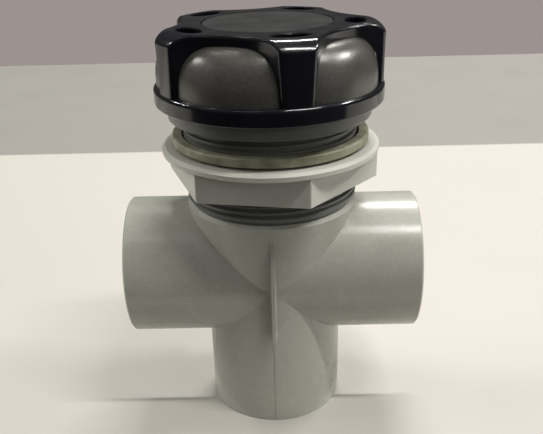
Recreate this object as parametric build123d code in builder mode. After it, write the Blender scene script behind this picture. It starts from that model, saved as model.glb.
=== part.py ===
from build123d import *
import os

# Three way diverter valve for 2 inch pipe, with a threaded wall fitting and a star handle.
# Millimetres. +Z is up, +X points out of the right port, and the origin is on the floor,
# under the valve's upright axis.

# Body
AXIS_HEIGHT = 78.3          # side ports' axis above the mouth of the bottom port
PORT_REACH = 72.6           # mouth of a side port from the upright axis
PIPE_RADIUS = 35.0          # outside of all three ports
SOCKET_RADIUS = 30.2        # slip socket for 2 inch pipe, 60.3 mm across
SOCKET_DEPTH = 38.0
MOUTH_CHAMFER = 0.8
SIDE_FLOW_RADIUS = 24.5
BOTTOM_FLOW_RADIUS = 26.0
CHAMBER_RADIUS = 30.6       # the gate turns in it
CHAMBER_FLOOR = 44.5
COLLAR_RADIUS = 42.0
COLLAR_TOP = 116.2
LIP_WIDTH = 2.2
LIP_DROP = 1.4
RIB_BOTTOM = 52.5
RIB_TOP = 108.0
RIB_REACH = 40.8
RIB_ROOT_HALF_WIDTH = 1.7
RIB_EDGE_HALF_WIDTH = 0.8
RIB_ROOT_DEPTH = 2.0        # how deep the rib stands in the pipe wall
SEAM_WIDTH = 0.7
SEAM_HEIGHT = 0.25

# Threaded neck
SPIGOT_RADIUS = 33.6        # glued into the collar
SPIGOT_BOTTOM = 105.0
NECK_FOOT_RADIUS = 39.6
NECK_FOOT_HEIGHT = 3.0      # the neck widens to the thread over this
NECK_BORE_RADIUS = 34.0
NECK_BORE_BOTTOM = 119.0
NECK_CHAMFER = 0.6
BONNET_SEAT = 150.0
LOCK_BORE_RADIUS = 36.5
NECK_TOP = 164.8
NECK_FLANGE_RADIUS = 48.2
NECK_FLANGE_BOTTOM = 158.2

# Thread between the neck and the nut, right-handed
PITCH = 3.1
THREAD_MAJOR = 41.6
THREAD_MINOR = 40.0
THREAD_END_ANGLE = -104.0   # the groove stops here, under the neck's flange
THREAD_END_HEIGHT = 157.0
THREAD_TURNS = 12.4
THREAD_CLEARANCE = 0.3
GROOVE_ROOT_WIDTH = 1.1
GROOVE_MOUTH_WIDTH = 2.34
RIDGE_CREST_WIDTH = 0.6
RIDGE_ROOT_WIDTH = 1.6
GROOVE_OVERRUN = 0.6        # the groove's tool passes the neck's surface by this
RIDGE_OVERLAP = 0.8         # the ridge is sunk in the nut by this
RIDGE_END_GAP = 1.0

# Flange nut and gasket
NUT_BOTTOM = 127.8
NUT_TOP = 145.0
NUT_HEX_TOP = 144.0
NUT_CORNER_RADIUS = 52.0
NUT_ANGLE = 19.6 - 90       # one corner, to the right of the front
NUT_FLANGE_RADIUS = 52.3
NUT_FLANGE_BOTTOM = 141.4
NUT_CORNER_ROUND = 1.2
NUT_CHAMFER = 0.5
NUT_TAPER_RADIUS = 46.0     # the flange's underside slopes up from here
NUT_TAPER_HEIGHT = 1.2
NUT_BEVEL_WIDTH = 1.6
NUT_BEVEL_HEIGHT = 1.2
GASKET_RADIUS = 47.2
GASKET_BORE = 42.1
GASKET_BOTTOM = 145.9
GASKET_THICKNESS = 4.4
GASKET_ROUND = 0.9

# Bonnet
FIT_GAP = 0.2               # between a turned part and its bore, and each side of a rubber ring
BONNET_BOTTOM = 140.0
BONNET_LEAD_IN = 1.0
BONNET_DISC_TOP = 154.5
BONNET_BOSS_TOP = 167.0
BONNET_BOSS_RADIUS = 14.0
BONNET_BOSS_CHAMFER = 1.0
STEM_BORE = 8.87
STOP_INNER = 15.5
STOP_OUTER = 22.0
STOP_BOTTOM = 133.2
STOP_ARC = 154.0            # leaves the stem's lug 180 degrees of travel
BONNET_RING_CENTRE = 32.3
BONNET_RING_SECTION = 1.6   # radius of the ring's round section
BONNET_RING_HEIGHT = 145.0
BONNET_GROOVE_BOTTOM = BONNET_RING_HEIGHT - BONNET_RING_SECTION - FIT_GAP
BONNET_GROOVE_TOP = BONNET_RING_HEIGHT + BONNET_RING_SECTION + FIT_GAP
LOCK_RING_TOP = 164.2
LOCK_RING_BORE = 27.0
LOCK_RING_GAP = 0.1
LOCK_RING_CHAMFER = 0.4
SPANNER_NOTCHES = 4
NOTCH_RADIUS = 2.5
NOTCH_DEPTH = 4.0

# Stem
CUT_CLEAR = 1.0             # how far a cutting form passes the surface it cuts
STEM_RADIUS = 8.8
STEM_BOTTOM = 108.0
STEM_TOP = 186.0
STEM_PILOT_BOTTOM = 170.0   # screw hole
STEM_COLLAR_RADIUS = 13.0
STEM_COLLAR_BOTTOM = 133.0
STEM_COLLAR_TOP = 138.0
LUG_OUTER = 21.2
LUG_ARC = 24.0
CLIP_GROOVE_RADIUS = 7.2
CLIP_BOTTOM = 167.4
CLIP_THICKNESS = 1.2
CLIP_WIDTH = 4.0
CLIP_MOUTH_WIDTH = 12.4
CLIP_MOUTH_LENGTH = 8.0
SQUARE_BOTTOM = 169.4
SQUARE_SIDE = 12.0
SQUARE_SOCKET_SIDE = 12.1
STEM_RING_HEIGHTS = {"stem_o_ring_lower": 145.0, "stem_o_ring_upper": 160.0}
STEM_RING_SECTION = 1.3     # radius of the ring's round section
STEM_RING_CENTRE = 7.5
THRUST_WASHER_BORE = 8.9    # radius
THRUST_WASHER_TOP = 139.5

# Gate
GATE_RADIUS = 29.8
GATE_INNER_RADIUS = 26.6
GATE_BOTTOM = 45.0
GATE_ROOF = 106.0
GATE_TOP = 110.0
GATE_HUB_RADIUS = 15.0
GATE_HUB_TOP = 124.0
GUIDE_RADIUS = 30.3
GUIDE_GROOVE_RADIUS = 28.2
GUIDE_WIDTH = 2.6
GUIDE_BOTTOMS = {"lower_guide_ring": 46.6, "upper_guide_ring": 106.6}
SEAL_INNER = 25.2
SEAL_OUTER = 27.2
SEAL_ROOT = 28.4
PIN_RADIUS = 2.5
PIN_HEIGHT = 117.0
PIN_INSET = 0.5
PIN_CHAMFER = 0.4

# Handle
LOBES = 5
LOBE_ANGLE = 13.8 - 90      # the front lobe, a little to the right
SCALLOP_ANGLE = LOBE_ANGLE + 180 / LOBES
RING_RADIUS = 53.8
RING_BOTTOM = 165.3
RING_TOP = 173.3
RING_TOP_ROUND = 1.8
RING_FOOT_ROUND = 1.0
HANDLE_TOP = 199.7
HANDLE_WALL = 2.6
VOID_RADIUS = 50.5
VOID_TOP = 196.5
LOBE_RADIUS = 53.1
LOBE_SHOULDER = 195.2
FLAT_RADIUS = 45.2          # the flat top ends here and rounds down to the lobes' corners
SCALLOP_CENTRE = 85.8
SCALLOP_RADIUS = 45.8       # at the handle's top
SCALLOP_FOOT_RADIUS = 47.0  # at the foot ring
LOBE_CORNER = 3.2
TOP_ROUND = 1.2
SHOULDER_LEAD = 1.5         # the cutting form runs out this far under the shoulder
SAME_RADIUS = 0.01
VOID_CORNER = 1.0
VOID_FLAT_RADIUS = 44.2
PAD_AXIS = 12.8             # each pad is turned about its own upright axis
PAD_RADIUS = 39.7
PAD_BOTTOM = 173.3
PAD_SHOULDER = 177.0
PAD_TOP = 195.2
PAD_FLAT_RADIUS = 27.2
PAD_MARGIN = 1.5            # how far a pad reaches past the inside of the cover's wall
PAD_WALL = 3.0
WINDOW_GAP = 0.25
CUT_OVERRUN = 0.05
HOLE_CIRCLE = 39.4
HOLE_HALF_LENGTH = 8.7
HOLE_HALF_WIDTH = 4.9
HOLE_CHAMFER = 0.5
DISC_RADIUS = 29.7
DISC_BOTTOM = 197.3
DISC_TOP = 199.6
DISC_CHAMFER = 0.3
DISC_RECESS_RADIUS = 30.1
HUB_RADIUS = 13.0
HUB_BOTTOM = 169.8
WEB_BOTTOM = 186.0
WEB_TOP = 189.0
WEB_RADIUS = 36.4
CORE_RIB_BOTTOM = 174.0
CORE_RIB_WIDTH = 2.6
CORE_RIB_START = 12.0
CORE_RIB_END = 38.0
BOSS_RADIUS = 18.0
SCREW_RECESS_RADIUS = 12.0
SCREW_SEAT = 192.5
SCREW_RADIUS = 3.0
SCREW_HOLE_RADIUS = 3.3     # through the core and the cover
SCREW_FIT = 0.05
SCREW_BOTTOM = 172.0
WASHER_RADIUS = 8.0
WASHER_BORE = 3.2           # radius
WASHER_THICKNESS = 1.5
SCREW_HEAD_RADIUS = 5.8
SCREW_HEAD_HEIGHT = 2.9
SCREW_HEAD_ROUND = 1.6
SCREW_POINT_CHAMFER = 0.5
CROSS_LENGTH = 6.4
CROSS_WIDTH = 1.2
CROSS_DEPTH = 1.8

SIDE_PORTS = Plane(origin=(0, 0, AXIS_HEIGHT), x_dir=(0, 1, 0), z_dir=(1, 0, 0))
SIDE_AXIS = Axis((0, 0, AXIS_HEIGHT), (1, 0, 0))


def turned(points):
    """A solid of revolution about the valve's axis, from (radius, height) points."""
    with BuildPart() as solid:
        with BuildSketch(Plane.XZ):
            with BuildLine():
                Polyline(*points, close=True)
            make_face()
        revolve(axis=Axis.Z)
    return solid.part


def tube(inner, outer, bottom, top):
    """A plain ring about the valve's axis."""
    return turned([(inner, bottom), (outer, bottom), (outer, top), (inner, top)])


def round_ring(centre_radius, height, section_radius):
    """A ring of round section about the valve's axis."""
    with BuildPart() as ring:
        with BuildSketch(Plane.XZ):
            with Locations((centre_radius, height)):
                Circle(section_radius)
        revolve(axis=Axis.Z)
    return ring.part


def helical_bar(inner, outer, inner_width, outer_width):
    """A bar along the whole of the thread's groove, of the section given."""
    height = THREAD_TURNS * PITCH
    start_angle = THREAD_END_ANGLE - 360 * THREAD_TURNS
    start = Plane.XY.rotated((0, 0, start_angle)).offset(THREAD_END_HEIGHT - height)
    with BuildPart() as bar:
        with BuildLine(start) as line:
            Helix(pitch=PITCH, height=height, radius=THREAD_MINOR)
        path = line.wires()[0]
        foot = path @ 0
        with BuildSketch(Plane(origin=foot, x_dir=(foot.X, foot.Y, 0), z_dir=path % 0)):
            with BuildLine():
                Polyline(
                    (inner - THREAD_MINOR, -inner_width / 2),
                    (outer - THREAD_MINOR, -outer_width / 2),
                    (outer - THREAD_MINOR, outer_width / 2),
                    (inner - THREAD_MINOR, inner_width / 2),
                    close=True,
                )
            make_face()
        sweep(path=path, is_frenet=True)
    return bar.part


def star_prism(radius, grow, corner):
    """A five-lobed prism above the foot ring, its scallops grown by an amount."""
    with BuildPart() as prism:
        for height, scallop_radius in ((RING_TOP, SCALLOP_FOOT_RADIUS), (HANDLE_TOP, SCALLOP_RADIUS)):
            with BuildSketch(Plane.XY.offset(height)) as outline:
                Circle(radius)
                with PolarLocations(SCALLOP_CENTRE, LOBES, SCALLOP_ANGLE):
                    Circle(scallop_radius + grow, mode=Mode.SUBTRACT)
                fillet(outline.vertices(), corner)
        loft(ruled=True)
    return prism.part


def pad_die(grow, margin):
    """The grip pads' outer form, grown by an amount, and kept to the scallop's own cone."""
    with BuildPart() as die:
        with BuildSketch(Plane.XZ):
            with BuildLine():
                foot = Line((PAD_AXIS, PAD_BOTTOM), (PAD_AXIS + PAD_RADIUS + grow, PAD_BOTTOM))
                side = Line(foot @ 1, (PAD_AXIS + PAD_RADIUS + grow, PAD_SHOULDER))
                EllipticalCenterArc(
                    (PAD_AXIS + PAD_FLAT_RADIUS, PAD_SHOULDER),
                    PAD_RADIUS - PAD_FLAT_RADIUS + grow,
                    PAD_TOP - PAD_SHOULDER + grow,
                    start_angle=0,
                    arc_size=90,
                )
                Polyline(
                    (PAD_AXIS + PAD_FLAT_RADIUS, PAD_TOP + grow),
                    (PAD_AXIS, PAD_TOP + grow),
                    (PAD_AXIS, PAD_BOTTOM),
                )
            make_face()
        revolve(axis=Axis((PAD_AXIS, 0, 0), (0, 0, 1)))
    with BuildPart() as cone:
        for height, radius in ((RING_TOP, SCALLOP_FOOT_RADIUS), (HANDLE_TOP, SCALLOP_RADIUS)):
            with BuildSketch(Plane.XY.offset(height)):
                with Locations((SCALLOP_CENTRE, 0)):
                    Circle(radius + margin)
        loft()
        add(die.part, mode=Mode.INTERSECT)
    return cone.part


# Body: two side sockets, a bottom socket, a flared collar, a rib front and back, and a mould seam.
with BuildPart() as body:
    with BuildSketch(SIDE_PORTS.offset(-PORT_REACH)):
        Circle(PIPE_RADIUS)
    extrude(amount=2 * PORT_REACH)
    with BuildSketch(Plane.XZ):
        with BuildLine():
            Polyline(
                (0, 0),
                (PIPE_RADIUS, 0),
                (PIPE_RADIUS, AXIS_HEIGHT),
                (COLLAR_RADIUS, COLLAR_TOP - LIP_DROP),
                (COLLAR_RADIUS - LIP_WIDTH, COLLAR_TOP),
                (0, COLLAR_TOP),
                close=True,
            )
        make_face()
    revolve(axis=Axis.Z)
    with BuildSketch(Plane.XY.offset(RIB_BOTTOM)):
        for side in (-1, 1):
            with BuildLine():
                Polyline(
                    (-RIB_ROOT_HALF_WIDTH, side * (PIPE_RADIUS - RIB_ROOT_DEPTH)),
                    (RIB_ROOT_HALF_WIDTH, side * (PIPE_RADIUS - RIB_ROOT_DEPTH)),
                    (RIB_EDGE_HALF_WIDTH, side * RIB_REACH),
                    (-RIB_EDGE_HALF_WIDTH, side * RIB_REACH),
                    close=True,
                )
            make_face()
    extrude(amount=RIB_TOP - RIB_BOTTOM)
    with BuildSketch(Plane.XY.offset(MOUTH_CHAMFER)):
        Rectangle(SEAM_WIDTH, 2 * (PIPE_RADIUS + SEAM_HEIGHT))
    extrude(amount=RIB_BOTTOM)
    with BuildSketch(Plane.XZ):
        with BuildLine():
            Polyline(
                (0, 0),
                (SOCKET_RADIUS + MOUTH_CHAMFER, 0),
                (SOCKET_RADIUS, MOUTH_CHAMFER),
                (SOCKET_RADIUS, SOCKET_DEPTH),
                (BOTTOM_FLOW_RADIUS, SOCKET_DEPTH),
                (BOTTOM_FLOW_RADIUS, CHAMBER_FLOOR),
                (CHAMBER_RADIUS, CHAMBER_FLOOR),
                (CHAMBER_RADIUS, SPIGOT_BOTTOM),
                (SPIGOT_RADIUS, SPIGOT_BOTTOM),
                (SPIGOT_RADIUS, COLLAR_TOP),
                (0, COLLAR_TOP),
                close=True,
            )
        make_face()
    revolve(axis=Axis.Z, mode=Mode.SUBTRACT)
    with BuildSketch(SIDE_PORTS):
        Circle(SIDE_FLOW_RADIUS)
    extrude(amount=PORT_REACH, both=True, mode=Mode.SUBTRACT)
    for start in (-PORT_REACH, PORT_REACH - SOCKET_DEPTH):
        with BuildSketch(SIDE_PORTS.offset(start)):
            Circle(SOCKET_RADIUS)
        extrude(amount=SOCKET_DEPTH, mode=Mode.SUBTRACT)
    mouths = body.edges().filter_by(GeomType.CIRCLE).group_by(Axis.X)
    chamfer([mouths[0], mouths[-1]], MOUTH_CHAMFER)
body.part.label = "body"

# Threaded neck: glued into the collar, with the wall flange at its top.
with BuildPart() as threaded_neck:
    add(
        turned(
            [
                (CHAMBER_RADIUS, SPIGOT_BOTTOM),
                (SPIGOT_RADIUS, SPIGOT_BOTTOM),
                (SPIGOT_RADIUS, COLLAR_TOP),
                (NECK_FOOT_RADIUS, COLLAR_TOP),
                (THREAD_MAJOR, COLLAR_TOP + NECK_FOOT_HEIGHT),
                (THREAD_MAJOR, NECK_FLANGE_BOTTOM),
                (NECK_FLANGE_RADIUS - NECK_CHAMFER, NECK_FLANGE_BOTTOM),
                (NECK_FLANGE_RADIUS, NECK_FLANGE_BOTTOM + NECK_CHAMFER),
                (NECK_FLANGE_RADIUS, NECK_TOP - NECK_CHAMFER),
                (NECK_FLANGE_RADIUS - NECK_CHAMFER, NECK_TOP),
                (LOCK_BORE_RADIUS, NECK_TOP),
                (LOCK_BORE_RADIUS, BONNET_SEAT),
                (NECK_BORE_RADIUS, BONNET_SEAT),
                (NECK_BORE_RADIUS, NECK_BORE_BOTTOM),
                (CHAMBER_RADIUS, NECK_BORE_BOTTOM),
            ]
        )
    )
    add(
        helical_bar(THREAD_MINOR, THREAD_MAJOR + GROOVE_OVERRUN, GROOVE_ROOT_WIDTH, GROOVE_MOUTH_WIDTH),
        mode=Mode.SUBTRACT,
    )
threaded_neck.part.label = "threaded_neck"

# Flange nut: a hexagon under a round flange, with a ridge that runs in the neck's groove.
with BuildPart() as nut_ridge:
    add(
        helical_bar(
            THREAD_MINOR + THREAD_CLEARANCE,
            THREAD_MAJOR + RIDGE_OVERLAP,
            RIDGE_CREST_WIDTH,
            RIDGE_ROOT_WIDTH,
        )
    )
    with BuildSketch(Plane.XY.offset(NUT_BOTTOM + RIDGE_END_GAP)):
        Circle(NUT_CORNER_RADIUS)
    extrude(amount=NUT_TOP - NUT_BOTTOM - 2 * RIDGE_END_GAP, mode=Mode.INTERSECT)
with BuildPart() as flange_nut:
    with BuildSketch(Plane.XY.offset(NUT_BOTTOM)):
        RegularPolygon(radius=NUT_CORNER_RADIUS, side_count=6, rotation=NUT_ANGLE)
    extrude(amount=NUT_HEX_TOP - NUT_BOTTOM)
    fillet(flange_nut.edges().filter_by(Axis.Z), NUT_CORNER_ROUND)
    chamfer(flange_nut.faces().sort_by(Axis.Z)[0].edges(), NUT_CHAMFER)
    add(
        turned(
            [
                (0, NUT_FLANGE_BOTTOM - NUT_TAPER_HEIGHT),
                (NUT_TAPER_RADIUS, NUT_FLANGE_BOTTOM - NUT_TAPER_HEIGHT),
                (NUT_FLANGE_RADIUS - NUT_CHAMFER, NUT_FLANGE_BOTTOM),
                (NUT_FLANGE_RADIUS, NUT_FLANGE_BOTTOM + NUT_CHAMFER),
                (NUT_FLANGE_RADIUS, NUT_TOP - NUT_BEVEL_HEIGHT),
                (NUT_FLANGE_RADIUS - NUT_BEVEL_WIDTH, NUT_TOP),
                (0, NUT_TOP),
            ]
        )
    )
    with BuildSketch(Plane.XY.offset(NUT_BOTTOM)):
        Circle(THREAD_MAJOR + THREAD_CLEARANCE)
    extrude(amount=NUT_TOP - NUT_BOTTOM, mode=Mode.SUBTRACT)
    add(nut_ridge.part)
flange_nut.part.label = "flange_nut"

# Shell gasket: a thick soft ring, lying a little above the nut.
with BuildPart() as shell_gasket:
    with BuildSketch(Plane.XZ):
        with Locations(((GASKET_BORE + GASKET_RADIUS) / 2, GASKET_BOTTOM + GASKET_THICKNESS / 2)):
            RectangleRounded(GASKET_RADIUS - GASKET_BORE, GASKET_THICKNESS, GASKET_ROUND)
    revolve(axis=Axis.Z)
shell_gasket.part.label = "shell_gasket"

# Bonnet: plugs the neck, guides the stem, and has a skirt below that stops the stem's lug.
with BuildPart() as bonnet:
    add(
        turned(
            [
                (STEM_BORE, BONNET_BOTTOM),
                (NECK_BORE_RADIUS - BONNET_LEAD_IN, BONNET_BOTTOM),
                (NECK_BORE_RADIUS - FIT_GAP, BONNET_BOTTOM + BONNET_LEAD_IN),
                (NECK_BORE_RADIUS - FIT_GAP, BONNET_GROOVE_BOTTOM),
                (BONNET_RING_CENTRE - BONNET_RING_SECTION, BONNET_GROOVE_BOTTOM),
                (BONNET_RING_CENTRE - BONNET_RING_SECTION, BONNET_GROOVE_TOP),
                (NECK_BORE_RADIUS - FIT_GAP, BONNET_GROOVE_TOP),
                (NECK_BORE_RADIUS - FIT_GAP, BONNET_SEAT),
                (LOCK_BORE_RADIUS - FIT_GAP, BONNET_SEAT),
                (LOCK_BORE_RADIUS - FIT_GAP, BONNET_DISC_TOP),
                (BONNET_BOSS_RADIUS, BONNET_DISC_TOP),
                (BONNET_BOSS_RADIUS, BONNET_BOSS_TOP - BONNET_BOSS_CHAMFER),
                (BONNET_BOSS_RADIUS - BONNET_BOSS_CHAMFER, BONNET_BOSS_TOP),
                (STEM_BORE, BONNET_BOSS_TOP),
            ]
        )
    )
    with BuildSketch(Plane.XY.offset(STOP_BOTTOM)):
        with BuildLine():
            start_angle = -90 - STOP_ARC / 2
            inner = CenterArc((0, 0), STOP_INNER, start_angle, STOP_ARC)
            outer = CenterArc((0, 0), STOP_OUTER, start_angle, STOP_ARC)
            Line(inner @ 0, outer @ 0)
            Line(inner @ 1, outer @ 1)
        make_face()
    extrude(amount=BONNET_BOTTOM - STOP_BOTTOM)
bonnet.part.label = "bonnet"

with BuildPart() as bonnet_o_ring:
    add(round_ring(BONNET_RING_CENTRE, BONNET_RING_HEIGHT, BONNET_RING_SECTION))
bonnet_o_ring.part.label = "bonnet_o_ring"

# Bonnet ring: screwed into the neck over the bonnet, with four notches for a pin spanner.
with BuildPart() as bonnet_ring:
    add(tube(LOCK_RING_BORE, LOCK_BORE_RADIUS - LOCK_RING_GAP, BONNET_DISC_TOP, LOCK_RING_TOP))
    with BuildSketch(Plane.XY.offset(LOCK_RING_TOP - NOTCH_DEPTH)):
        with PolarLocations((LOCK_RING_BORE + LOCK_BORE_RADIUS) / 2, SPANNER_NOTCHES):
            Circle(NOTCH_RADIUS)
    extrude(amount=NOTCH_DEPTH, mode=Mode.SUBTRACT)
    chamfer(bonnet_ring.faces().sort_by(Axis.Z)[-1].edges(), LOCK_RING_CHAMFER)
bonnet_ring.part.label = "bonnet_ring"

# Stem: ring grooves, a thrust collar with the stop lug, and a square on top for the handle.
with BuildPart() as stem:
    with BuildSketch(Plane.XY.offset(STEM_BOTTOM)):
        Circle(STEM_RADIUS)
    extrude(amount=SQUARE_BOTTOM - STEM_BOTTOM)
    with BuildSketch(Plane.XY.offset(SQUARE_BOTTOM)):
        Rectangle(SQUARE_SIDE, SQUARE_SIDE)
    extrude(amount=STEM_TOP - SQUARE_BOTTOM)
    add(tube(0, STEM_COLLAR_RADIUS, STEM_COLLAR_BOTTOM, STEM_COLLAR_TOP))
    with BuildSketch(Plane.XY.offset(STEM_COLLAR_BOTTOM)):
        with BuildLine():
            lug = CenterArc((0, 0), LUG_OUTER, -LUG_ARC / 2, LUG_ARC)
            Line((0, 0), lug @ 0)
            Line((0, 0), lug @ 1)
        make_face()
    extrude(amount=STEM_COLLAR_TOP - STEM_COLLAR_BOTTOM)
    for height in STEM_RING_HEIGHTS.values():
        add(
            tube(
                STEM_RING_CENTRE - STEM_RING_SECTION,
                STEM_RADIUS + CUT_CLEAR,
                height - STEM_RING_SECTION - FIT_GAP,
                height + STEM_RING_SECTION + FIT_GAP,
            ),
            mode=Mode.SUBTRACT,
        )
    add(
        tube(CLIP_GROOVE_RADIUS, STEM_RADIUS + CUT_CLEAR, CLIP_BOTTOM, CLIP_BOTTOM + CLIP_THICKNESS),
        mode=Mode.SUBTRACT,
    )
    with BuildSketch(Plane.XY.offset(STEM_TOP)):
        Circle(SCREW_RADIUS)
    extrude(amount=STEM_PILOT_BOTTOM - STEM_TOP, mode=Mode.SUBTRACT)
    with BuildSketch(Plane.XZ.offset(-STEM_RADIUS - CUT_CLEAR)):
        with Locations((0, PIN_HEIGHT)):
            Circle(PIN_RADIUS)
    extrude(amount=2 * (STEM_RADIUS + CUT_CLEAR), mode=Mode.SUBTRACT)
stem.part.label = "stem"

stem_rings = []
for ring_name, height in STEM_RING_HEIGHTS.items():
    with BuildPart() as stem_ring:
        add(round_ring(STEM_RING_CENTRE, height, STEM_RING_SECTION))
    stem_ring.part.label = ring_name
    stem_rings.append(stem_ring)

# Stem clip: an open ring in the stem's groove.
with BuildPart() as stem_clip:
    with BuildSketch(Plane.XY.offset(CLIP_BOTTOM)):
        Circle(CLIP_GROOVE_RADIUS + CLIP_WIDTH)
        Circle(CLIP_GROOVE_RADIUS, mode=Mode.SUBTRACT)
        with Locations((0, -CLIP_GROOVE_RADIUS - CLIP_WIDTH / 2)):
            Rectangle(CLIP_MOUTH_WIDTH, CLIP_MOUTH_LENGTH, mode=Mode.SUBTRACT)
    extrude(amount=CLIP_THICKNESS)
stem_clip.part.label = "stem_clip"

with BuildPart() as thrust_washer:
    add(tube(THRUST_WASHER_BORE, STEM_COLLAR_RADIUS, STEM_COLLAR_TOP, THRUST_WASHER_TOP))
thrust_washer.part.label = "thrust_washer"

# Gate seal: a rubber loop round the gate's closed side, facing away from the window.
with BuildPart() as gate_seal:
    add(tube(SEAL_ROOT, GUIDE_RADIUS, GATE_BOTTOM, GATE_TOP))
    with BuildSketch(SIDE_PORTS):
        Circle(SEAL_OUTER)
        Circle(SEAL_INNER, mode=Mode.SUBTRACT)
    extrude(amount=-PORT_REACH, mode=Mode.INTERSECT)
gate_seal.part.label = "gate_seal"

# Diverter gate: a barrel open below, with one side window, and a hub pinned to the stem.
with BuildPart() as diverter_gate:
    add(
        turned(
            [
                (GATE_INNER_RADIUS, GATE_BOTTOM),
                (GATE_RADIUS, GATE_BOTTOM),
                (GATE_RADIUS, GATE_TOP),
                (GATE_HUB_RADIUS, GATE_TOP),
                (GATE_HUB_RADIUS, GATE_HUB_TOP),
                (STEM_RADIUS, GATE_HUB_TOP),
                (STEM_RADIUS, STEM_BOTTOM),
                (0, STEM_BOTTOM),
                (0, GATE_ROOF),
                (GATE_INNER_RADIUS, GATE_ROOF),
            ]
        )
    )
    with BuildSketch(SIDE_PORTS):
        Circle(SIDE_FLOW_RADIUS)
    extrude(amount=PORT_REACH, mode=Mode.SUBTRACT)
    for bottom in GUIDE_BOTTOMS.values():
        add(
            tube(GUIDE_GROOVE_RADIUS, GUIDE_RADIUS, bottom, bottom + GUIDE_WIDTH),
            mode=Mode.SUBTRACT,
        )
    add(gate_seal.part, mode=Mode.SUBTRACT)
    with BuildSketch(Plane.XZ.offset(-GATE_HUB_RADIUS - CUT_CLEAR)):
        with Locations((0, PIN_HEIGHT)):
            Circle(PIN_RADIUS)
    extrude(amount=2 * (GATE_HUB_RADIUS + CUT_CLEAR), mode=Mode.SUBTRACT)
diverter_gate.part.label = "diverter_gate"

guide_rings = []
for ring_name, bottom in GUIDE_BOTTOMS.items():
    with BuildPart() as guide_ring:
        add(tube(GUIDE_GROOVE_RADIUS, GUIDE_RADIUS, bottom, bottom + GUIDE_WIDTH))
    guide_ring.part.label = ring_name
    guide_rings.append(guide_ring)

with BuildPart() as gate_pin:
    with BuildSketch(Plane.XZ.offset(PIN_INSET - GATE_HUB_RADIUS)):
        with Locations((0, PIN_HEIGHT)):
            Circle(PIN_RADIUS)
    extrude(amount=2 * (GATE_HUB_RADIUS - PIN_INSET))
    chamfer(gate_pin.edges(), PIN_CHAMFER)
gate_pin.part.label = "gate_pin"

pad = pad_die(0, HANDLE_WALL + PAD_MARGIN)
pad_hollow = pad_die(-PAD_WALL, HANDLE_WALL + PAD_MARGIN - PAD_WALL)
window = pad_die(WINDOW_GAP, HANDLE_WALL + CUT_OVERRUN)

# Handle core: a square-holed hub, a web, and five hollow grip pads joined to it by ribs.
with BuildPart() as handle_core:
    add(tube(0, HUB_RADIUS, HUB_BOTTOM, WEB_TOP))
    add(tube(0, WEB_RADIUS, WEB_BOTTOM, WEB_TOP))
    with BuildSketch(Plane.XY.offset(CORE_RIB_BOTTOM)):
        with PolarLocations((CORE_RIB_START + CORE_RIB_END) / 2, LOBES, SCALLOP_ANGLE):
            Rectangle(CORE_RIB_END - CORE_RIB_START, CORE_RIB_WIDTH)
    extrude(amount=WEB_TOP - CORE_RIB_BOTTOM)
    with PolarLocations(0, LOBES, SCALLOP_ANGLE):
        add(pad)
        add(pad_hollow, mode=Mode.SUBTRACT)
    with BuildSketch(Plane.XY.offset(HUB_BOTTOM)):
        Rectangle(SQUARE_SOCKET_SIDE, SQUARE_SOCKET_SIDE)
    extrude(amount=WEB_BOTTOM - HUB_BOTTOM, mode=Mode.SUBTRACT)
    with BuildSketch(Plane.XY.offset(WEB_BOTTOM)):
        Circle(SCREW_HOLE_RADIUS)
    extrude(amount=WEB_TOP - WEB_BOTTOM, mode=Mode.SUBTRACT)
handle_core.part.label = "handle_core"

# Star: the handle's lobed form under its rounded top, here solid.
with BuildPart() as star:
    add(star_prism(LOBE_RADIUS, 0, LOBE_CORNER))
    with BuildSketch(Plane.XZ):
        with BuildLine():
            TangentArc((FLAT_RADIUS, HANDLE_TOP), (LOBE_RADIUS, LOBE_SHOULDER), tangent=(1, 0))
            Polyline(
                (LOBE_RADIUS, LOBE_SHOULDER),
                (LOBE_RADIUS + CUT_CLEAR, LOBE_SHOULDER - SHOULDER_LEAD),
                (LOBE_RADIUS + CUT_CLEAR, RING_TOP),
                (0, RING_TOP),
                (0, HANDLE_TOP),
                (FLAT_RADIUS, HANDLE_TOP),
            )
        make_face()
    revolve(axis=Axis.Z, mode=Mode.INTERSECT)
    top_edges = star.edges().filter_by_position(Axis.Z, LOBE_SHOULDER - SHOULDER_LEAD, HANDLE_TOP)
    flat_edges = top_edges.filter_by(
        lambda edge: edge.geom_type == GeomType.CIRCLE and abs(edge.radius - FLAT_RADIUS) < SAME_RADIUS
    )
    fillet(top_edges - flat_edges, TOP_ROUND)

# Cover void: the hollow inside the star and its foot ring.
with BuildPart() as cover_void:
    add(star_prism(VOID_RADIUS, HANDLE_WALL, VOID_CORNER))
    add(
        turned(
            [
                (0, RING_BOTTOM),
                (VOID_RADIUS + CUT_CLEAR, RING_BOTTOM),
                (VOID_RADIUS + CUT_CLEAR, LOBE_SHOULDER - HANDLE_WALL),
                (VOID_FLAT_RADIUS, VOID_TOP),
                (0, VOID_TOP),
            ]
        ),
        mode=Mode.INTERSECT,
    )
    add(tube(0, VOID_RADIUS, RING_BOTTOM, RING_TOP))

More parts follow.
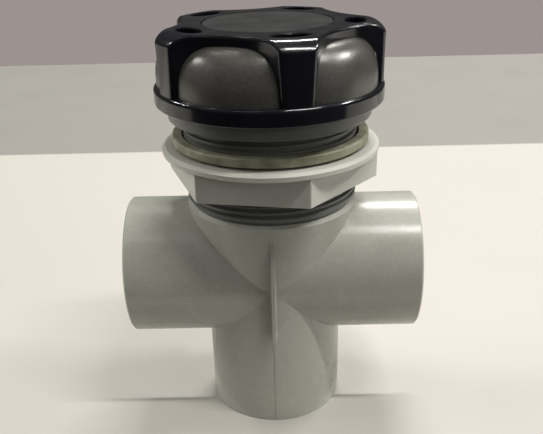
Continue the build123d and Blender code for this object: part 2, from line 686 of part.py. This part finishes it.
# Handle cover: a hollow star on a foot ring, with a window for each pad and a hole in each lobe.
with BuildPart() as handle_cover:
    with BuildSketch(Plane.XY.offset(RING_BOTTOM)):
        Circle(RING_RADIUS)
    extrude(amount=RING_TOP - RING_BOTTOM)
    fillet(handle_cover.faces().sort_by(Axis.Z)[-1].edges(), RING_TOP_ROUND)
    fillet(handle_cover.faces().sort_by(Axis.Z)[0].edges(), RING_FOOT_ROUND)
    add(star.part)
    add(cover_void.part, mode=Mode.SUBTRACT)
    add(tube(0, BOSS_RADIUS, WEB_TOP, VOID_TOP))
    with PolarLocations(0, LOBES, SCALLOP_ANGLE):
        add(window, mode=Mode.SUBTRACT)
    with BuildSketch(Plane.XY.offset(WEB_TOP)):
        with PolarLocations(HOLE_CIRCLE, LOBES, LOBE_ANGLE):
            Ellipse(HOLE_HALF_WIDTH, HOLE_HALF_LENGTH)
    extrude(amount=HANDLE_TOP - WEB_TOP, mode=Mode.SUBTRACT)
    chamfer(handle_cover.edges().filter_by(GeomType.ELLIPSE).group_by(Axis.Z)[-1], HOLE_CHAMFER)
    add(tube(0, DISC_RECESS_RADIUS, DISC_BOTTOM, HANDLE_TOP), mode=Mode.SUBTRACT)
    add(tube(0, SCREW_RECESS_RADIUS, SCREW_SEAT, DISC_BOTTOM), mode=Mode.SUBTRACT)
    add(tube(0, SCREW_HOLE_RADIUS, WEB_TOP, SCREW_SEAT), mode=Mode.SUBTRACT)
handle_cover.part.label = "handle_cover"

# Cap disc: a plain disc pressed into the cover over the screw.
with BuildPart() as cap_disc:
    with BuildSketch(Plane.XY.offset(DISC_BOTTOM)):
        Circle(DISC_RADIUS)
    extrude(amount=DISC_TOP - DISC_BOTTOM)
    chamfer(cap_disc.faces().sort_by(Axis.Z)[-1].edges(), DISC_CHAMFER)
cap_disc.part.label = "cap_disc"

with BuildPart() as screw_washer:
    add(tube(WASHER_BORE, WASHER_RADIUS, SCREW_SEAT, SCREW_SEAT + WASHER_THICKNESS))
screw_washer.part.label = "screw_washer"

# Handle screw: a pan head with a cross recess.
with BuildPart() as handle_screw:
    add(tube(0, SCREW_RADIUS - SCREW_FIT, SCREW_BOTTOM, SCREW_SEAT + WASHER_THICKNESS))
    head = SCREW_SEAT + WASHER_THICKNESS
    with BuildSketch(Plane.XY.offset(head)):
        Circle(SCREW_HEAD_RADIUS)
    extrude(amount=SCREW_HEAD_HEIGHT)
    fillet(handle_screw.faces().sort_by(Axis.Z)[-1].edges(), SCREW_HEAD_ROUND)
    with BuildSketch(Plane.XY.offset(head + SCREW_HEAD_HEIGHT)):
        Rectangle(CROSS_LENGTH, CROSS_WIDTH)
        Rectangle(CROSS_WIDTH, CROSS_LENGTH)
    extrude(amount=-CROSS_DEPTH, mode=Mode.SUBTRACT)
    chamfer(handle_screw.faces().sort_by(Axis.Z)[0].edges(), SCREW_POINT_CHAMFER)
handle_screw.part.label = "handle_screw"

os.makedirs("parts", exist_ok=True)
pieces = [
    body,
    threaded_neck,
    flange_nut,
    shell_gasket,
    bonnet,
    bonnet_o_ring,
    bonnet_ring,
    stem,
    *stem_rings,
    stem_clip,
    thrust_washer,
    gate_seal,
    diverter_gate,
    *guide_rings,
    gate_pin,
    handle_core,
    handle_cover,
    cap_disc,
    screw_washer,
    handle_screw,
]
for piece in pieces:
    export_step(piece.part, f"parts/{piece.part.label}.step")
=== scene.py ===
"""Looks of the three way valve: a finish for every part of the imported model, a plain stage, lamps and a camera."""
import math

import bpy
from mathutils import Matrix, Vector


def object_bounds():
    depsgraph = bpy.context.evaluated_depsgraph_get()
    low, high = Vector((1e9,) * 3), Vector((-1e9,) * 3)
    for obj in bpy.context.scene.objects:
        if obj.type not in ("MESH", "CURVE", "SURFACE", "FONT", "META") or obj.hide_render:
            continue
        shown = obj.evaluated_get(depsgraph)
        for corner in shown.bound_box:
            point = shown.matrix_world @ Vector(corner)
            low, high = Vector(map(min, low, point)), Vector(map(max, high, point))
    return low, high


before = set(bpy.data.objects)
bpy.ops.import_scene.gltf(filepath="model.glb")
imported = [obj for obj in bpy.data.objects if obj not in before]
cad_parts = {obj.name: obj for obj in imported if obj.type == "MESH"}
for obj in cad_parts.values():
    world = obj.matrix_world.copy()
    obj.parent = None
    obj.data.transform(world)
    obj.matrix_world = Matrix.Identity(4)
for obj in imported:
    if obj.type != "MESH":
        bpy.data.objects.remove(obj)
cad_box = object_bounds()

# The room, in metres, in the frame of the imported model
FLOOR_LEVEL = cad_box[0][2]
TABLE_BACK_EDGE = 0.417
TABLE_FAR_EDGE = 0.894
TABLE_REACH = 3.0
TABLE_EDGE_BLUR = 0.004
# where the black sheet of painted shade in front of the valve starts, and its gap over the table
SHADE_CARD_DISTANCE = 0.14
SHADE_CARD_GAP = 0.001
LAMP_HEIGHT = 2.2
LAMP_WIDTH = 0.07

# name, centre x, centre y, length, the axis it runs along, watts
LAMPS = [
    ("lamp_back", 0.35, 1.60, 1.20, "x", 66.0),
    ("lamp_front_right", 0.90, -0.56, 1.00, "x", 36.0),
    ("lamp_back_left", -1.00, 0.80, 0.85, "y", 2.0),
    ("lamp_front_left", -0.62, -0.90, 0.80, "x", 1.0),
    ("lamp_far_left", -2.90, 1.10, 1.00, "y", 62.0),
    ("lamp_far_front_left", -2.65, -0.72, 0.80, "x", 1.0),
    ("lamp_right", 2.35, 0.35, 0.70, "y", 74.0),
    ("lamp_far_right", 3.00, 1.20, 1.10, "y", 4.0),
]

# Soft panels that face the valve and show in no reflection: name, centre, side, watts
PANELS = [
    ("panel_overhead", Vector((0.0, 0.0, 2.2)), 1.2, 4.0),
    ("panel_right", Vector((1.6, -1.2, 0.7)), 1.0, 9.0),
    ("panel_left", Vector((-1.6, 0.2, 0.8)), 1.0, 12.0),
    ("panel_front", Vector((0.2, -1.6, 1.2)), 0.8, 0.5),
    ("panel_back_right", Vector((1.2, 0.9, 1.2)), 0.8, 0.5),
]
ROOM_LOW_GLOW = 0.07
ROOM_TOP_GLOW = 0.12
ROOM_GLOW_FROM = 0.35       # height on the sky where the glow starts to rise, from 0 at the horizon to 1 overhead
ROOM_GLOW_TO = 0.9
ROOM_TINT = (1.0, 0.98, 0.93)
LAMP_TINT = (1.0, 0.985, 0.95)

# The camera
CAMERA_PLACE = Vector((0.0031, -0.3347, 0.2504))
CAMERA_PITCH = math.radians(27.2)
CAMERA_YAW = math.radians(-0.7)
CAMERA_ROLL = math.radians(-1.5)
CAMERA_LENS = 47.2          # millimetres
CAMERA_SENSOR = 36.0        # its width, in millimetres
CAMERA_RISE = 0.079         # upward shift, in picture widths
CAMERA_NEAR = 0.01

# Colours, linear
PALE_TABLE = (0.430, 0.415, 0.380)
TABLE_SPECK = (0.350, 0.335, 0.300)
BACK_SHELF = (0.225, 0.217, 0.200)
BACK_WALL = (0.332, 0.292, 0.283)
# painted shade: the colour of the black sheet in front of the valve
SHADE_CARD_BLACK = (0.010, 0.010, 0.010)
BODY_GREY = (0.385, 0.388, 0.345)
BODY_SHADE = (0.360, 0.363, 0.320)
NUT_GREY = (0.480, 0.478, 0.430)
NUT_SHADE = (0.450, 0.448, 0.403)
NECK_GREY = (0.130, 0.134, 0.124)
NECK_SHADE = (0.110, 0.113, 0.104)
WORN_PALE = (0.55, 0.55, 0.50)
WORN_DARK = (0.12, 0.12, 0.115)
# a soiling colour, laid in hollows as painted shade and on nicks as real marks
GRIME_AND_SHADE = (0.085, 0.078, 0.058)
DUST = (0.42, 0.40, 0.36)
OLIVE = (0.300, 0.300, 0.205)
OLIVE_SHADE = (0.190, 0.192, 0.130)
SEAL_BLACK = (0.014, 0.014, 0.014)
SEAL_BLOOM = (0.045, 0.045, 0.044)
COVER_BLACK = (0.0060, 0.0065, 0.0100)
COVER_SHADE = (0.0040, 0.0043, 0.0070)
PEARL_GREY = (0.085, 0.083, 0.076)
PEARL_SHADE = (0.070, 0.068, 0.062)
DISC_BLACK = (0.030, 0.030, 0.031)
DISC_SHADE = (0.024, 0.024, 0.025)
STEM_GREY = (0.060, 0.062, 0.064)
STEM_SHADE = (0.042, 0.043, 0.045)
GATE_GREY = (0.230, 0.235, 0.230)
GATE_SHADE = (0.180, 0.184, 0.180)
ACETAL_WHITE = (0.700, 0.690, 0.640)
ACETAL_SHADE = (0.600, 0.590, 0.540)
STEEL = (0.560, 0.550, 0.530)
STEEL_SHADE = (0.430, 0.422, 0.408)

MILLIMETRE = 0.001

# Parts of a noise, which swings about 0.5, that a finish follows: where it starts and where it is full
TONES = (0.35, 0.65)
SWING = (0.30, 0.70)
PEAKS = (0.55, 0.75)


class Finish:
    """A Principled material whose colour, roughness and bump follow the model's own metres."""

    SHARP_EDGE = (0.995, 0.90)  # agreement of the true and the rounded normal, from none to full wear
    DEEP_HOLLOW = (0.75, 0.30)  # open sky left over a hollow, from none to full soiling and painted shade
    FACING_UP = (0.35, 0.95)
    SCRATCH_PATCHES = (0.48, 0.60)
    SCRATCH_LENGTH = 60.0       # in widths
    SCRATCH_PATCH_SIZE = 40     # in widths
    SCRATCH_SOFTNESS = 0.05
    SPECK_CORE = 0.4            # share of a speck's radius that is full
    SPECK_TURN = (0.3, 0.7, 0.2)
    MIX_BASE, MIX_OVER, MIX_RESULT = 6, 7, 2  # the colour sockets of a Mix node
    EDGE_SAMPLES = 4
    HOLLOW_SAMPLES = 6

    def __init__(self, name, **sockets):
        self.material = bpy.data.materials.new(name)
        self.material.use_nodes = True
        self.tree = self.material.node_tree
        self.shader = self.tree.nodes["Principled BSDF"]
        self.place = self.tree.nodes.new("ShaderNodeTexCoord").outputs["Object"]
        self.facing = self.tree.nodes.new("ShaderNodeNewGeometry").outputs["Normal"]
        self.relief = None
        for socket, value in sockets.items():
            self.shader.inputs[socket.replace("_", " ")].default_value = value

    def feed(self, socket, value):
        """Links value into socket, or sets it there."""
        if isinstance(value, bpy.types.NodeSocket):
            self.tree.links.new(value, socket)
        elif isinstance(value, tuple) and socket.type == "RGBA":
            socket.default_value = (*value, 1.0)
        else:
            socket.default_value = value

    def math(self, operation, first, second):
        """The result of one sum on two values."""
        node = self.tree.nodes.new("ShaderNodeMath")
        node.operation = operation
        self.feed(node.inputs[0], first)
        self.feed(node.inputs[1], second)
        return node.outputs[0]

    def both(self, first, second):
        """The part of first that second leaves."""
        return self.math("MULTIPLY", first, second)

    def either(self, first, second):
        """The larger of first and second."""
        return self.math("MAXIMUM", first, second)

    def band(self, value, span, at_start=0.0, at_end=1.0):
        """value carried from its span to at_start..at_end, and held at both ends."""
        start, end = span
        node = self.tree.nodes.new("ShaderNodeMapRange")
        self.feed(node.inputs["Value"], value)
        self.feed(node.inputs["From Min"], start)
        self.feed(node.inputs["From Max"], end)
        self.feed(node.inputs["To Min"], at_start)
        self.feed(node.inputs["To Max"], at_end)
        return node.outputs["Result"]

    def blend(self, base, over, share):
        """The colour base with a share of the colour over laid on it."""
        node = self.tree.nodes.new("ShaderNodeMix")
        node.data_type = "RGBA"
        self.feed(node.inputs["Factor"], share)
        self.feed(node.inputs[self.MIX_BASE], base)
        self.feed(node.inputs[self.MIX_OVER], over)
        return node.outputs[self.MIX_RESULT]

    def stain(self, base, over, where, strength):
        """The colour base with over laid on it where the mask says, at that strength."""
        return self.blend(base, over, self.math("MULTIPLY", where, strength))

    def rougher(self, roughness, where, by):
        """The roughness, raised by an amount where the mask says."""
        return self.math("ADD", roughness, self.math("MULTIPLY", where, by))

    def stretched(self, size, stretch, turn):
        """The place in the model, scaled so that one unit is size metres times stretch, after a turn."""
        node = self.tree.nodes.new("ShaderNodeMapping")
        node.vector_type = "TEXTURE"
        self.feed(node.inputs["Vector"], self.place)
        node.inputs["Scale"].default_value = [size * part for part in stretch]
        node.inputs["Rotation"].default_value = turn
        return node.outputs["Vector"]

    def noise(self, size, detail=3.0, stretch=(1.0, 1.0, 1.0), turn=(0.0, 0.0, 0.0)):
        """Cloudy noise with features about size metres across."""
        node = self.tree.nodes.new("ShaderNodeTexNoise")
        self.feed(node.inputs["Vector"], self.stretched(size, stretch, turn))
        node.inputs["Scale"].default_value = 1.0
        node.inputs["Detail"].default_value = detail
        return node.outputs["Fac"]

    def specks(self, spacing, radius, share):
        """Round specks of radius, in metres, in a share of the cells that lie spacing apart."""
        node = self.tree.nodes.new("ShaderNodeTexVoronoi")
        self.feed(node.inputs["Vector"], self.stretched(spacing, (1.0, 1.0, 1.0), self.SPECK_TURN))
        node.inputs["Scale"].default_value = 1.0
        rim = radius / spacing
        near = self.band(node.outputs["Distance"], (rim, self.SPECK_CORE * rim))
        split = self.tree.nodes.new("ShaderNodeSeparateColor")
        self.feed(split.inputs["Color"], node.outputs["Color"])
        return self.both(near, self.math("LESS_THAN", split.outputs["Red"], share))

    def scratches(self, width, turn, least):
        """Hairlines about width metres wide, in patches, kept where the noise rises over least."""
        lines = self.noise(width, detail=1.0, stretch=(1.0, self.SCRATCH_LENGTH, 1.0), turn=turn)
        patches = self.noise(self.SCRATCH_PATCH_SIZE * width, detail=2.0)
        lines = self.band(lines, (least, least + self.SCRATCH_SOFTNESS))
        return self.both(lines, self.band(patches, self.SCRATCH_PATCHES))

    def edges(self, radius):
        """1 along edges sharper than radius, in metres, and 0 on open faces."""
        rounded = self.tree.nodes.new("ShaderNodeBevel")
        rounded.samples = self.EDGE_SAMPLES
        rounded.inputs["Radius"].default_value = radius
        node = self.tree.nodes.new("ShaderNodeVectorMath")
        node.operation = "DOT_PRODUCT"
        self.feed(node.inputs[0], rounded.outputs["Normal"])
        self.feed(node.inputs[1], self.facing)
        return self.band(node.outputs["Value"], self.SHARP_EDGE)

    def hollows(self, reach):
        """1 deep in corners and grooves within reach, in metres, and 0 in the open."""
        node = self.tree.nodes.new("ShaderNodeAmbientOcclusion")
        node.samples = self.HOLLOW_SAMPLES
        node.inputs["Distance"].default_value = reach
        return self.band(node.outputs["AO"], self.DEEP_HOLLOW)

    def upward(self):
        """1 on faces that look up and 0 on upright ones."""
        split = self.tree.nodes.new("ShaderNodeSeparateXYZ")
        self.feed(split.inputs[0], self.facing)
        return self.band(split.outputs["Z"], self.FACING_UP)

    def raise_by(self, height, distance):
        """Adds a bump of height, which is 0..1, times distance in metres."""
        node = self.tree.nodes.new("ShaderNodeBump")
        node.inputs["Strength"].default_value = 1.0
        node.inputs["Distance"].default_value = distance
        self.feed(node.inputs["Height"], height)
        if self.relief is not None:
            self.feed(node.inputs["Normal"], self.relief)
        self.relief = node.outputs["Normal"]

    def done(self, colour, roughness):
        """Feeds the colour, the roughness and the bumps to the shader and gives the material."""
        self.feed(self.shader.inputs["Base Color"], colour)
        self.feed(self.shader.inputs["Roughness"], roughness)
        if self.relief is not None:
            self.feed(self.shader.inputs["Normal"], self.relief)
        return self.material


def moulded_plastic(name, grey, shade, worn, gloss, wear, dirt_and_shade):
    """Injection moulded plastic: cloudy flow marks, orange peel, worn edges, soiling and painted shade in corners
    and grooves, and light scuffs.
    """
    finish = Finish(name, IOR=1.53)
    flow = finish.noise(22 * MILLIMETRE, detail=4.0, stretch=(1.0, 1.0, 1.6))
    flecks = finish.noise(2.2 * MILLIMETRE)
    colour = finish.blend(shade, grey, finish.band(flow, TONES))
    colour = finish.blend(colour, worn, finish.band(flecks, (0.45, 0.75), at_end=0.18))

    scuffs = finish.scratches(0.12 * MILLIMETRE, turn=(0.5, 0.2, 0.9), least=0.66)
    scuffs = finish.either(scuffs, finish.scratches(0.16 * MILLIMETRE, turn=(1.9, 0.6, -0.7), least=0.67))
    colour = finish.stain(colour, worn, where=scuffs, strength=0.35)

    patches = finish.band(finish.noise(3.5 * MILLIMETRE, detail=4.0), (0.42, 0.60))
    rubbed = finish.both(finish.edges(0.7 * MILLIMETRE), patches)
    colour = finish.stain(colour, worn, where=rubbed, strength=wear)

    # painted shade with some real soiling: darker deep in hollows and grooves, where little open sky reaches
    uneven = finish.band(flow, (0.30, 0.60), at_start=0.45)
    grime_and_shade = finish.both(finish.hollows(3.5 * MILLIMETRE), uneven)
    colour = finish.stain(colour, GRIME_AND_SHADE, where=grime_and_shade, strength=dirt_and_shade)
    nicks = finish.specks(spacing=5.0 * MILLIMETRE, radius=0.35 * MILLIMETRE, share=0.22)
    colour = finish.stain(colour, GRIME_AND_SHADE, where=nicks, strength=0.5 * dirt_and_shade)

    roughness = finish.band(flow, SWING, at_start=gloss - 0.04, at_end=gloss + 0.05)
    roughness = finish.rougher(roughness, where=scuffs, by=0.12)
    roughness = finish.rougher(roughness, where=grime_and_shade, by=0.20)
    orange_peel = finish.noise(0.9 * MILLIMETRE, detail=2.0)
    sink_marks = finish.noise(9 * MILLIMETRE, detail=2.0)
    finish.raise_by(orange_peel, 0.04 * MILLIMETRE)
    finish.raise_by(sink_marks, 0.10 * MILLIMETRE)
    finish.raise_by(scuffs, -0.01 * MILLIMETRE)
    finish.raise_by(nicks, -0.05 * MILLIMETRE)
    return finish.done(colour, roughness)


def gloss_plastic(name, black, shade, gloss, dust):
    """Polished dark plastic: a faint mould haze, swirl marks from wiping, and dust on what looks up."""
    finish = Finish(name, IOR=1.54)
    haze = finish.noise(14 * MILLIMETRE)
    colour = finish.blend(shade, black, finish.band(haze, TONES))

    wiped = finish.scratches(0.10 * MILLIMETRE, turn=(0.2, 0.1, 0.6), least=0.68)
    wiped = finish.either(wiped, finish.scratches(0.09 * MILLIMETRE, turn=(0.1, 1.4, -0.5), least=0.69))
    lint = finish.specks(spacing=2.6 * MILLIMETRE, radius=0.16 * MILLIMETRE, share=0.35)
    grains = finish.specks(spacing=0.9 * MILLIMETRE, radius=0.07 * MILLIMETRE, share=0.45)
    settled = finish.both(finish.either(lint, grains), finish.upward())
    film = finish.both(finish.upward(), finish.band(haze, (0.40, 0.70)))
    rubbed = finish.both(finish.edges(0.5 * MILLIMETRE), finish.band(haze, (0.45, 0.60)))
    colour = finish.stain(colour, DUST, where=settled, strength=dust)
    colour = finish.stain(colour, DUST, where=film, strength=0.04 * dust)
    colour = finish.stain(colour, WORN_DARK, where=rubbed, strength=0.10)

    roughness = finish.band(haze, SWING, at_start=gloss, at_end=gloss + 0.05)
    roughness = finish.rougher(roughness, where=wiped, by=0.12)
    roughness = finish.rougher(roughness, where=settled, by=0.40)
    ripple = finish.noise(5 * MILLIMETRE, detail=1.0)
    finish.raise_by(ripple, 0.03 * MILLIMETRE)
    finish.raise_by(wiped, -0.004 * MILLIMETRE)
    finish.raise_by(settled, 0.02 * MILLIMETRE)
    return finish.done(colour, roughness)


def pearl_plastic(name):
    """Metal-flake grey plastic with a satin moulded face, and painted shade in its hollows."""
    finish = Finish(name, IOR=1.5, Metallic=0.45)
    flow = finish.noise(12 * MILLIMETRE, detail=4.0, stretch=(1.0, 1.0, 2.5))
    flakes = finish.noise(0.18 * MILLIMETRE, detail=1.0)
    grime_and_shade = finish.hollows(3 * MILLIMETRE)
    colour = finish.blend(PEARL_SHADE, PEARL_GREY, finish.band(flow, TONES))
    colour = finish.blend(colour, WORN_PALE, finish.band(flakes, PEAKS, at_end=0.5))
    # painted shade: the pads turn towards near black deep in hollows and grooves, where shade falls
    colour = finish.stain(colour, COVER_SHADE, where=grime_and_shade, strength=0.5)

    roughness = finish.band(flow, SWING, at_start=0.27, at_end=0.36)
    grain = finish.noise(0.35 * MILLIMETRE, detail=2.0)
    sink_marks = finish.noise(6 * MILLIMETRE, detail=2.0)
    finish.raise_by(grain, 0.015 * MILLIMETRE)
    finish.raise_by(sink_marks, 0.06 * MILLIMETRE)
    return finish.done(colour, roughness)


def rubber(name, tone, shade, bloom, gloss):
    """Moulded rubber: a fine matt grain, a pale bloom, lint caught on it, and painted shade in its hollows."""
    finish = Finish(name, IOR=1.50, Subsurface_Weight=0.08, Subsurface_Scale=0.002)
    cloud = finish.noise(8 * MILLIMETRE, detail=4.0)
    grain = finish.noise(0.25 * MILLIMETRE, detail=2.0)
    grime_and_shade = finish.hollows(2 * MILLIMETRE)
    lint = finish.specks(spacing=3.2 * MILLIMETRE, radius=0.14 * MILLIMETRE, share=0.30)
    colour = finish.blend(shade, tone, finish.band(cloud, TONES))
    colour = finish.blend(colour, bloom, finish.band(cloud, (0.50, 0.75), at_end=0.35))
    colour = finish.blend(colour, bloom, finish.band(grain, PEAKS, at_end=0.20))
    # painted shade: near black laid deep in hollows and grooves, where shade falls
    colour = finish.stain(colour, SEAL_BLACK, where=grime_and_shade, strength=0.6)
    colour = finish.stain(colour, DUST, where=lint, strength=0.5)

    roughness = finish.band(grain, SWING, at_start=gloss - 0.06, at_end=gloss + 0.08)
    finish.raise_by(grain, 0.03 * MILLIMETRE)
    finish.raise_by(cloud, 0.12 * MILLIMETRE)
    return finish.done(colour, roughness)


def bearing_plastic(name):
    """Turned white plastic that slides on its neighbours: rings left by the tool, and a grey rubbed film."""
    finish = Finish(name, IOR=1.48, Subsurface_Weight=0.15, Subsurface_Scale=0.003)
    cloud = finish.noise(7 * MILLIMETRE)
    rings = finish.noise(0.22 * MILLIMETRE, detail=1.0, stretch=(60.0, 60.0, 1.0))
    film = finish.both(finish.edges(0.5 * MILLIMETRE), finish.band(cloud, (0.35, 0.60)))
    colour = finish.blend(ACETAL_SHADE, ACETAL_WHITE, finish.band(cloud, TONES))
    colour = finish.stain(colour, GATE_SHADE, where=film, strength=0.4)

    roughness = finish.band(rings, SWING, at_start=0.30, at_end=0.46)
    finish.raise_by(rings, 0.012 * MILLIMETRE)
    finish.raise_by(cloud, 0.05 * MILLIMETRE)
    return finish.done(colour, roughness)


def brushed_steel(name):
    """Stainless steel with a fine drawn grain, a few deeper scratches and water marks."""
    finish = Finish(name, Metallic=1.0)
    cloud = finish.noise(5 * MILLIMETRE, detail=4.0)
    grain = finish.noise(0.06 * MILLIMETRE, detail=1.0, stretch=(30.0, 1.0, 1.0), turn=(0.0, 0.0, 0.4))
    scratches = finish.scratches(0.08 * MILLIMETRE, turn=(0.3, 0.4, 1.1), least=0.66)
    marks = finish.specks(spacing=2.4 * MILLIMETRE, radius=0.5 * MILLIMETRE, share=0.25)
    colour = finish.blend(STEEL_SHADE, STEEL, finish.band(cloud, TONES))
    colour = finish.stain(colour, STEEL_SHADE, where=marks, strength=0.25)

    roughness = finish.band(grain, SWING, at_start=0.24, at_end=0.38)
    roughness = finish.rougher(roughness, where=marks, by=0.12)
    finish.raise_by(grain, 0.004 * MILLIMETRE)
    finish.raise_by(scratches, -0.006 * MILLIMETRE)
    return finish.done(colour, roughness)


def table_top(name):
    """A pale laminate that turns a shade darker behind its back edge."""
    finish = Finish(name, IOR=1.45)
    cloud = finish.noise(90 * MILLIMETRE, detail=4.0)
    grain = finish.noise(0.7 * MILLIMETRE)
    split = finish.tree.nodes.new("ShaderNodeSeparateXYZ")
    finish.feed(split.inputs[0], finish.place)
    behind = finish.band(split.outputs["Y"], (TABLE_BACK_EDGE, TABLE_BACK_EDGE + TABLE_EDGE_BLUR))
    colour = finish.blend(PALE_TABLE, TABLE_SPECK, finish.band(grain, (0.50, 0.75), at_end=0.30))
    colour = finish.blend(colour, TABLE_SPECK, finish.band(cloud, (0.40, 0.75), at_end=0.12))
    colour = finish.blend(colour, BACK_SHELF, behind)

    finish.raise_by(grain, 0.02 * MILLIMETRE)
    return finish.done(colour, finish.band(cloud, SWING, at_start=0.50, at_end=0.60))


def shade_card_paint(name):
    """Flat black paint, faintly uneven, on the sheet of painted shade."""
    finish = Finish(name, IOR=1.2)
    roller = finish.noise(2 * MILLIMETRE)
    return finish.done(finish.blend(SHADE_CARD_BLACK, SEAL_BLACK, roller), roughness=0.9)


def finish_parts():
    """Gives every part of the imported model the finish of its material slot."""
    finishes = {
        "light_grey_pvc": moulded_plastic(
            "light_grey_pvc_finish", BODY_GREY, BODY_SHADE, WORN_PALE, gloss=0.24, wear=0.30, dirt_and_shade=0.30
        ),
        "dark_grey_pvc": moulded_plastic(
            "dark_grey_pvc_finish", NECK_GREY, NECK_SHADE, WORN_DARK, gloss=0.36, wear=0.40, dirt_and_shade=0.25
        ),
        "nut_plastic": moulded_plastic(
            "nut_plastic_finish", NUT_GREY, NUT_SHADE, WORN_PALE, gloss=0.45, wear=0.30, dirt_and_shade=0.45
        ),
        "stem_plastic": moulded_plastic(
            "stem_plastic_finish", STEM_GREY, STEM_SHADE, WORN_DARK, gloss=0.38, wear=0.30, dirt_and_shade=0.20
        ),
        "gate_plastic": moulded_plastic(
            "gate_plastic_finish", GATE_GREY, GATE_SHADE, WORN_PALE, gloss=0.42, wear=0.30, dirt_and_shade=0.30
        ),
        "gloss_black_plastic": gloss_plastic(
            "gloss_black_plastic_finish", COVER_BLACK, COVER_SHADE, gloss=0.11, dust=0.55
        ),
        "disc_plastic": gloss_plastic("disc_plastic_finish", DISC_BLACK, DISC_SHADE, gloss=0.16, dust=0.45),
        "pearl_grey_plastic": pearl_plastic("pearl_grey_plastic_finish"),
        "olive_rubber": rubber("olive_rubber_finish", OLIVE, OLIVE_SHADE, DUST, gloss=0.50),
        "black_rubber": rubber("black_rubber_finish", SEAL_BLACK, SEAL_BLACK, SEAL_BLOOM, gloss=0.48),
        "bearing_plastic": bearing_plastic("bearing_plastic_finish"),
        "stainless_steel": brushed_steel("stainless_steel_finish"),
    }
    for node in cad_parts.values():
        for slot in node.material_slots:
            slot.material = finishes[slot.name]


def stage_panel(name, front, back, level, material):
    """A flat panel of the stage, from front to back along Y and as wide as the table reaches."""
    side = TABLE_REACH
    mesh = bpy.data.meshes.new(name)
    corners = [(-side, front, level), (side, front, level), (side, back, level), (-side, back, level)]
    mesh.from_pydata(corners, [], [(0, 1, 2, 3)])
    mesh.materials.append(material)
    panel = bpy.data.objects.new(name, mesh)
    bpy.context.collection.objects.link(panel)
    return panel


def build_stage():
    """The table under the valve, and in front a black sheet of painted shade that the camera and the lamps' shadows
    pass through, so that only reflections and bounced light meet it.
    """
    stage_panel("table", -TABLE_REACH, TABLE_FAR_EDGE, FLOOR_LEVEL, table_top("table_finish"))
    # painted shade: a black sheet unseen by the camera and casting no shadow, darkening only reflections and bounced
    # light
    shade_card = stage_panel("shade_card", -TABLE_REACH, -SHADE_CARD_DISTANCE, FLOOR_LEVEL + SHADE_CARD_GAP, shade_card_paint("shade_card_finish"))
    shade_card.visible_camera = False
    shade_card.visible_shadow = False


def hang_lamps():
    """The long ceiling lamps, all looking down."""
    for name, x, y, length, axis, watts in LAMPS:
        light = bpy.data.lights.new(name, "AREA")
        light.shape = "RECTANGLE"
        light.size = length if axis == "x" else LAMP_WIDTH
        light.size_y = LAMP_WIDTH if axis == "x" else length
        light.energy = watts
        light.color = LAMP_TINT
        lamp = bpy.data.objects.new(name, light)
        lamp.location = (x, y, LAMP_HEIGHT)
        bpy.context.collection.objects.link(lamp)


def hang_panels():
    """The soft panels that even out the lamps' light."""
    for name, centre, side, watts in PANELS:
        light = bpy.data.lights.new(name, "AREA")
        light.size = side
        light.energy = watts
        light.color = LAMP_TINT
        panel = bpy.data.objects.new(name, light)
        panel.location = centre
        panel.rotation_euler = centre.to_track_quat("Z", "Y").to_euler()
        panel.visible_glossy = False
        bpy.context.collection.objects.link(panel)


def fill_room():
    """The soft light of the room, dim near the horizon and brighter overhead, in front of a plain wall colour."""
    world = bpy.data.worlds.new("room")
    world.use_nodes = True
    bpy.context.scene.world = world
    tree = world.node_tree
    place = tree.nodes.new("ShaderNodeTexCoord")
    split = tree.nodes.new("ShaderNodeSeparateXYZ")
    rise = tree.nodes.new("ShaderNodeMapRange")
    rise.inputs["From Min"].default_value = ROOM_GLOW_FROM
    rise.inputs["From Max"].default_value = ROOM_GLOW_TO
    rise.inputs["To Min"].default_value = ROOM_LOW_GLOW
    rise.inputs["To Max"].default_value = ROOM_TOP_GLOW
    glow = tree.nodes["Background"]
    glow.inputs["Color"].default_value = (*ROOM_TINT, 1.0)
    wall = tree.nodes.new("ShaderNodeBackground")
    wall.inputs["Color"].default_value = (*BACK_WALL, 1.0)
    ray = tree.nodes.new("ShaderNodeLightPath")
    either = tree.nodes.new("ShaderNodeMixShader")
    tree.links.new(place.outputs["Generated"], split.inputs[0])
    tree.links.new(split.outputs["Z"], rise.inputs["Value"])
    tree.links.new(rise.outputs["Result"], glow.inputs["Strength"])
    tree.links.new(ray.outputs["Is Camera Ray"], either.inputs[0])
    tree.links.new(glow.outputs["Background"], either.inputs[1])
    tree.links.new(wall.outputs["Background"], either.inputs[2])
    tree.links.new(either.outputs[0], tree.nodes["World Output"].inputs["Surface"])


def place_camera():
    """The camera in front of the valve, looking a little down on it."""
    forward = Vector((
        math.sin(CAMERA_YAW) * math.cos(CAMERA_PITCH),
        math.cos(CAMERA_YAW) * math.cos(CAMERA_PITCH),
        -math.sin(CAMERA_PITCH),
    ))
    level = Vector((math.cos(CAMERA_YAW), -math.sin(CAMERA_YAW), 0.0))
    upright = level.cross(forward)
    right = level * math.cos(CAMERA_ROLL) + upright * math.sin(CAMERA_ROLL)
    top = upright * math.cos(CAMERA_ROLL) - level * math.sin(CAMERA_ROLL)
    data = bpy.data.cameras.new("camera")
    data.lens = CAMERA_LENS
    data.sensor_width = CAMERA_SENSOR
    data.shift_y = CAMERA_RISE
    data.clip_start = CAMERA_NEAR
    camera = bpy.data.objects.new("camera", data)
    turn = Matrix((right, top, -forward)).transposed()
    camera.matrix_world = Matrix.Translation(CAMERA_PLACE) @ turn.to_4x4()
    bpy.context.collection.objects.link(camera)
    bpy.context.scene.camera = camera


finish_parts()
build_stage()
hang_lamps()
hang_panels()
fill_room()
place_camera()
bpy.context.scene.view_settings.view_transform = "Standard"
